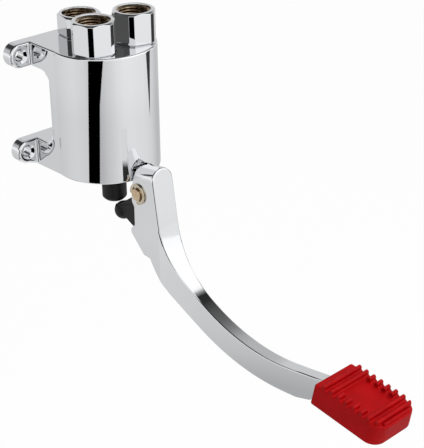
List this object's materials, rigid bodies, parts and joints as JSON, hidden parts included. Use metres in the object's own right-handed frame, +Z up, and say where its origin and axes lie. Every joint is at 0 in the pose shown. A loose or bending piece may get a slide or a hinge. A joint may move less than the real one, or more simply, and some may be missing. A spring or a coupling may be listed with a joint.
{
  "type": "foot pedal tap valve",
  "caption": "Wall-fixed chrome mixing valve with threaded pipe sockets on top and a sprung curved pedal with a red ribbed pad that lifts the valve stem.",
  "frame": {"origin": "on the wall plane, in the middle of the four fixing holes", "axes": "+Y points into the wall, +Z up and +X across, along the pedal's hinge; the pedal points along -Y"},
  "size_m": [0.0964, 0.2845, 0.1961],
  "materials": {
    "chrome_body": "chrome-plated brass, polished",
    "chrome_lever": "chrome-plated brass, polished",
    "brass": "machined",
    "steel": "stainless",
    "clip_steel": "yellow passivated",
    "black_nylon": "moulded, matt",
    "white_nylon": "moulded",
    "seal_rubber": "moulded",
    "red_rubber": "moulded, satin"
  },
  "bodies": {
    "valve_body": {"body": "chrome_body", "socket_hot": "chrome_body", "socket_cold": "chrome_body", "socket_out": "chrome_body", "seal_hot": "seal_rubber", "seal_cold": "seal_rubber", "seal_out": "seal_rubber", "strainer_hot": "steel", "strainer_cold": "steel", "seat_ring": "brass", "seat_seal": "seal_rubber", "gland": "brass", "gland_seal": "seal_rubber", "stem_seal": "seal_rubber", "pivot_bush": "brass"},
    "valve_stem": {"stem": "brass", "seat_washer": "seal_rubber", "washer_holder": "brass", "button": "black_nylon", "return_spring": "steel"},
    "pedal": {"lever": "chrome_lever", "pivot_pin": "brass", "pin_clips": "clip_steel", "side_washers": "white_nylon", "pusher": "black_nylon", "pusher_stud": "steel", "pedal_pad": "red_rubber"}
  },
  "joints": [
    {"name": "pedal_hinge", "type": "hinge", "parent": "valve_body", "child": "pedal", "pos_m": [0, -0.077, -0.04805], "axis": [1, 0, 0], "range_deg": [0, 10], "stiffness_Nm_per_rad": 4, "springref_deg": -22.92},
    {"name": "stem_lift", "type": "slide", "parent": "valve_body", "child": "valve_stem", "axis": [0, 0, 1], "range_m": [0, 0.006], "deforming": ["return_spring"]}
  ],
  "couplings": [
    {"joint": "stem_lift", "follows": "pedal_hinge", "m_per_rad": 0.0322}
  ]
}
